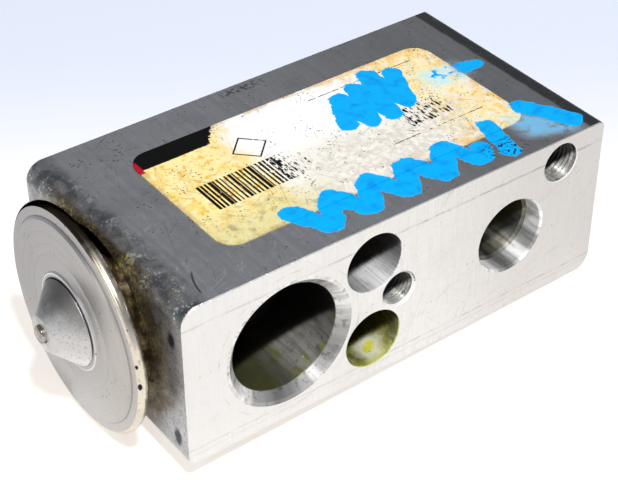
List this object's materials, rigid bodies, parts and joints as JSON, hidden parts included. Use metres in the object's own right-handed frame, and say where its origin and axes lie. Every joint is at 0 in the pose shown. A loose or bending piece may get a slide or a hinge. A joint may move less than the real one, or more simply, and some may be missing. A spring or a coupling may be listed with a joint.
{
  "type": "block-type thermostatic expansion valve",
  "caption": "Aluminium block with round ports and a flat round power head at one end, metering liquid refrigerant into a car's evaporator by the temperature of its suction vapour.",
  "frame": {"origin": "in the plane of the pipe-side face, midway between the two fixing holes", "axes": "+X along the valve's axis from the power head to the adjusting screw, +Y from the pipe side to the evaporator side, +Z out of the face that carries the label"},
  "size_m": [0.0793, 0.0384, 0.0326],
  "materials": {
    "block_aluminium": "milled and drawn, worn",
    "head_steel": "satin stainless",
    "diaphragm_steel": "smooth foil",
    "plug_steel": "polished",
    "rod_steel": "turned",
    "ball_steel": "polished",
    "spring_steel": "drawn wire",
    "screw_brass": "turned",
    "seal_rubber": "moulded green",
    "label_film": "worn paper film"
  },
  "bodies": {
    "valve_body": {"valve_block": "block_aluminium", "head_lower_cover": "head_steel", "head_upper_cover": "head_steel", "charge_cone": "head_steel", "charge_pin": "plug_steel", "label": "label_film", "diaphragm": "diaphragm_steel", "head_seal_ring": "seal_rubber", "rod_o_ring": "seal_rubber", "o_ring_retainer": "spring_steel", "superheat_spring": "spring_steel"},
    "metering_train": {"diaphragm_stopper": "rod_steel", "sensing_rod": "rod_steel", "push_pin": "rod_steel", "valve_ball": "ball_steel", "ball_holder": "rod_steel", "damper_ring": "spring_steel"},
    "adjuster_seal": {"adjuster_o_ring": "seal_rubber"},
    "adjuster": {"adjusting_screw": "screw_brass"}
  },
  "joints": [
    {"name": "valve_lift", "type": "slide", "parent": "valve_body", "child": "metering_train", "axis": [1, 0, 0], "range_m": [0, 0.0008], "stiffness_N_per_m": 8000, "deforming": ["superheat_spring", "diaphragm"]},
    {"name": "adjuster_travel", "type": "slide", "parent": "valve_body", "child": "adjuster_seal", "axis": [1, 0, 0], "range_m": [-0.001, 0.001], "deforming": ["superheat_spring"]},
    {"name": "adjuster_turn", "type": "hinge", "parent": "adjuster_seal", "child": "adjuster", "pos_m": [0.03916, 0.0204, 0], "axis": [1, 0, 0], "range_deg": [-360, 360]}
  ],
  "couplings": [
    {"joint": "adjuster_turn", "follows": "adjuster_travel", "rad_per_m": 6283.2}
  ]
}
